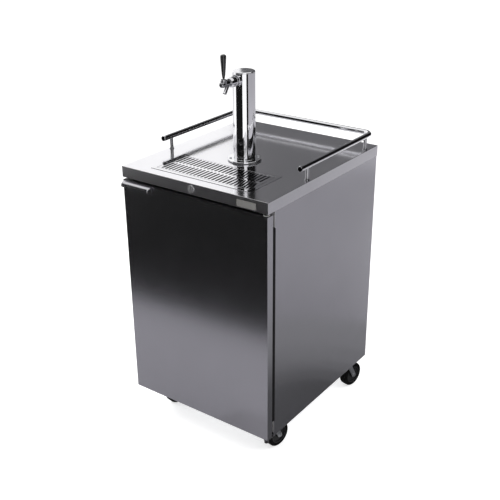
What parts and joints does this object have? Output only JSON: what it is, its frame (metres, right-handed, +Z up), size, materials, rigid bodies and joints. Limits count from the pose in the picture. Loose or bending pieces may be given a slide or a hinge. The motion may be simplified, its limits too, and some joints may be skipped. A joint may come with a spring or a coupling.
{
  "type": "draft beer cooler",
  "caption": "Free-standing draft beer cooler: insulated keg cabinet with a hinged door on swivel castors, with drip tray, gallery rail and tap column on its steel countertop.",
  "frame": {"origin": "on the floor, under the middle of the overall box, door handle included", "axes": "+Z up, door and tap towards -Y, +X to the right of someone facing the door"},
  "size_m": [0.597, 0.703, 1.365],
  "materials": {
    "stainless": "brushed",
    "polished_deck": "satin",
    "chrome": "polished",
    "galvanised": "galvanised",
    "zinc": "zinc plated",
    "black_plastic": "moulded",
    "black_gloss": "polished",
    "white_plastic": "moulded",
    "grey_plastic": "moulded",
    "rubber": "moulded",
    "tyre": "moulded",
    "foam": "foamed",
    "black_paint": "satin",
    "aluminium": "mill",
    "brass": "turned"
  },
  "bodies": {
    "cabinet": {"base_frame": "galvanised", "left_side_panel": "stainless", "right_side_panel": "stainless", "back_panel": "galvanised", "inner_liner": "stainless", "cabinet_foam": "foam", "breaker_frame": "black_plastic", "keg_floor": "stainless", "countertop": "polished_deck", "nameplate": "aluminium", "lock_body": "chrome", "tray_frame": "stainless", "tray_pan": "stainless", "tray_drain": "stainless", "rail_tube": "chrome", "rail_posts": "chrome", "column_gasket": "rubber", "column_flange": "chrome", "column_tube": "chrome", "column_cap": "chrome", "column_screws": "zinc", "shank": "chrome", "shank_locknut": "brass", "coupling_nut": "chrome", "tap_body": "chrome", "tap_bonnet": "chrome", "hinge_brackets": "black_paint", "compressor": "black_paint", "condenser_coil": "aluminium", "fan_motors": "black_paint", "evaporator_cover": "aluminium", "evaporator_coil": "aluminium", "castor_plates": "zinc", "castor_bolts": "zinc"},
    "door": {"door_skin": "stainless", "door_foam": "foam", "door_liner": "white_plastic", "door_seal": "rubber", "door_handle": "stainless", "hinge_bushes": "white_plastic"},
    "lock": {"lock_plug": "zinc"},
    "grid": {"tray_grid": "stainless"},
    "lever": {"tap_lever": "chrome", "tap_handle": "black_gloss"},
    "shaft": {"tap_shaft": "brass"},
    "condenser_rotor": {"condenser_fan": "grey_plastic"},
    "evaporator_rotor": {"evaporator_fan": "grey_plastic"},
    "thermostat": {"thermostat_knob": "black_plastic"},
    "castor_front_left": {"fork_front_left": "zinc"},
    "wheel_front_left": {"hub_front_left": "grey_plastic", "tyre_front_left": "tyre"},
    "castor_front_right": {"fork_front_right": "zinc"},
    "wheel_front_right": {"hub_front_right": "grey_plastic", "tyre_front_right": "tyre"},
    "castor_rear_left": {"fork_rear_left": "zinc"},
    "wheel_rear_left": {"hub_rear_left": "grey_plastic", "tyre_rear_left": "tyre"},
    "castor_rear_right": {"fork_rear_right": "zinc"},
    "wheel_rear_right": {"hub_rear_right": "grey_plastic", "tyre_rear_right": "tyre"}
  },
  "joints": [
    {"name": "door_hinge", "type": "hinge", "parent": "cabinet", "child": "door", "pos_m": [0.284, -0.3205, 0.53], "axis": [0, 0, 1], "range_deg": [0, 110]},
    {"name": "lock_turn", "type": "hinge", "parent": "cabinet", "child": "lock", "pos_m": [0, -0.3335, 0.971], "axis": [0, 1, 0], "range_deg": [0, 90]},
    {"name": "grid_lift", "type": "slide", "parent": "cabinet", "child": "grid", "axis": [0, 0, 1], "range_m": [0, 0.12]},
    {"name": "lever_pull", "type": "hinge", "parent": "cabinet", "child": "lever", "pos_m": [0, -0.1525, 1.277], "axis": [1, 0, 0], "range_deg": [0, 30]},
    {"name": "shaft_slide", "type": "slide", "parent": "cabinet", "child": "shaft", "axis": [0, 1, 0], "range_m": [0, 0.0042]},
    {"name": "condenser_spin", "type": "hinge", "parent": "cabinet", "child": "condenser_rotor", "pos_m": [0.115, 0.2676, 0.27], "axis": [0, 1, 0], "continuous": true},
    {"name": "evaporator_spin", "type": "hinge", "parent": "cabinet", "child": "evaporator_rotor", "pos_m": [0, 0.1996, 0.7105], "axis": [0, 1, 0], "continuous": true},
    {"name": "thermostat_turn", "type": "hinge", "parent": "cabinet", "child": "thermostat", "pos_m": [0.158, 0.1776, 0.8085], "axis": [0, 1, 0], "range_deg": [0, 270]},
    {"name": "swivel_front_left", "type": "hinge", "parent": "cabinet", "child": "castor_front_left", "pos_m": [-0.233, -0.2265, 0.104], "axis": [0, 0, 1], "continuous": true},
    {"name": "roll_front_left", "type": "hinge", "parent": "castor_front_left", "child": "wheel_front_left", "pos_m": [-0.22744, -0.19499, 0.048], "axis": [0.9848, -0.1736, 0], "continuous": true},
    {"name": "swivel_front_right", "type": "hinge", "parent": "cabinet", "child": "castor_front_right", "pos_m": [0.233, -0.2265, 0.104], "axis": [0, 0, 1], "continuous": true},
    {"name": "roll_front_right", "type": "hinge", "parent": "castor_front_right", "child": "wheel_front_right", "pos_m": [0.23856, -0.19499, 0.048], "axis": [0.9848, -0.1736, 0], "continuous": true},
    {"name": "swivel_rear_left", "type": "hinge", "parent": "cabinet", "child": "castor_rear_left", "pos_m": [-0.256, 0.266, 0.104], "axis": [0, 0, 1], "continuous": true},
    {"name": "roll_rear_left", "type": "hinge", "parent": "castor_rear_left", "child": "wheel_rear_left", "pos_m": [-0.25044, 0.29751, 0.048], "axis": [0.9848, -0.1736, 0], "continuous": true},
    {"name": "swivel_rear_right", "type": "hinge", "parent": "cabinet", "child": "castor_rear_right", "pos_m": [0.256, 0.266, 0.104], "axis": [0, 0, 1], "continuous": true},
    {"name": "roll_rear_right", "type": "hinge", "parent": "castor_rear_right", "child": "wheel_rear_right", "pos_m": [0.26156, 0.29751, 0.048], "axis": [0.9848, -0.1736, 0], "continuous": true}
  ],
  "couplings": [
    {"joint": "shaft_slide", "follows": "lever_pull", "m_per_rad": 0.008}
  ]
}
